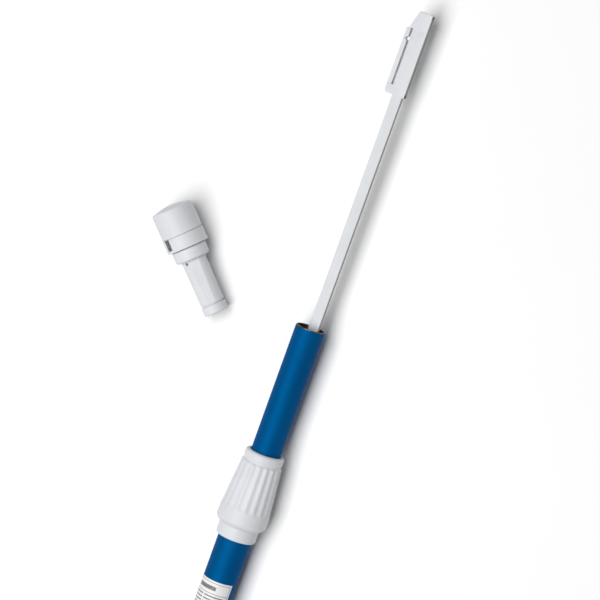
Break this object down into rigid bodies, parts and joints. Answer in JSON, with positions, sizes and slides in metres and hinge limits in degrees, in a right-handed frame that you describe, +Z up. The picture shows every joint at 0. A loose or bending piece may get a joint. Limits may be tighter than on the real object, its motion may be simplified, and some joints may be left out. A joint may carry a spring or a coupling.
{
  "type": "telescoping banner pole",
  "caption": "Two-stage telescoping tube pole with a fluted twist lock, a flat pull-out cross arm with a sprung end clip, and a pull-off swivel cap.",
  "frame": {"origin": "centre of the foot cap's end face, on the pole's axis", "axes": "+X along the pole from foot to open mouth, +Z up from the floor it lies on, +Y to the left"},
  "size_m": [1.8522, 0.1585, 0.0382],
  "materials": {
    "blue_coating": "satin resin coating",
    "tube_steel": "cut pipe edge",
    "white_plastic": "satin moulded",
    "white_bar": "white coated steel strip",
    "grey_plastic": "matt moulded",
    "dark_rubber": "matt",
    "pin_steel": "turned",
    "label_film": "blank printed film"
  },
  "bodies": {
    "lower_pole": {"foot_cap": "dark_rubber", "lower_tube_steel": "tube_steel", "lower_tube_coating": "blue_coating", "blank_label": "label_film", "collet_body": "white_plastic"},
    "clamp": {"clamp_ring": "grey_plastic"},
    "nut": {"lock_nut": "white_plastic", "wiper_ring": "dark_rubber"},
    "upper_pole": {"upper_tube_steel": "tube_steel", "upper_tube_coating": "blue_coating", "guide_bush": "grey_plastic", "bush_pins": "pin_steel", "arm_rest_plug": "grey_plastic"},
    "arm": {"arm_bar": "white_bar", "clip_head": "white_plastic", "head_rivet": "white_bar", "arm_tail_cap": "grey_plastic"},
    "finger": {"clip_finger": "white_plastic"},
    "cap": {"cap_stem": "white_plastic", "stem_end_ring": "white_plastic", "swivel_axle": "pin_steel", "swivel_washer": "grey_plastic", "axle_clip": "pin_steel"},
    "cap_head": {"arm_holder": "white_plastic", "dome_cap": "white_plastic"}
  },
  "joints": [
    {"name": "clamp_slide", "type": "slide", "parent": "lower_pole", "child": "clamp", "axis": [1, 0, 0], "range_m": [0, 0.0015]},
    {"name": "nut_turn", "type": "hinge", "parent": "clamp", "child": "nut", "pos_m": [1.4866, 0, 0], "axis": [1, 0, 0], "range_deg": [0, 180.2]},
    {"name": "upper_slide", "type": "slide", "parent": "lower_pole", "child": "upper_pole", "axis": [1, 0, 0], "range_m": [-0.04, 1.4]},
    {"name": "arm_slide", "type": "slide", "parent": "upper_pole", "child": "arm", "axis": [1, 0, 0], "range_m": [-0.3077, 0.545]},
    {"name": "finger_flex", "type": "hinge", "parent": "arm", "child": "finger", "pos_m": [1.79705, 0.0063, -0.00077], "axis": [0, 0.1219, 0.9925], "range_deg": [0, 6], "stiffness_Nm_per_rad": 0.4},
    {"name": "cap_swing", "type": "hinge", "parent": "arm", "child": "cap", "pos_m": [1.64983, -0.308, -0.09513], "axis": [0.0923, 0.2191, -0.9713], "range_deg": [0, 43.49]},
    {"name": "head_swivel", "type": "hinge", "parent": "cap", "child": "cap_head", "pos_m": [1.6254, 0.1019, -0.00498], "axis": [0.7279, 0.674, 0.1262], "continuous": true}
  ],
  "couplings": [
    {"joint": "nut_turn", "follows": "clamp_slide", "rad_per_m": 2094.4}
  ]
}
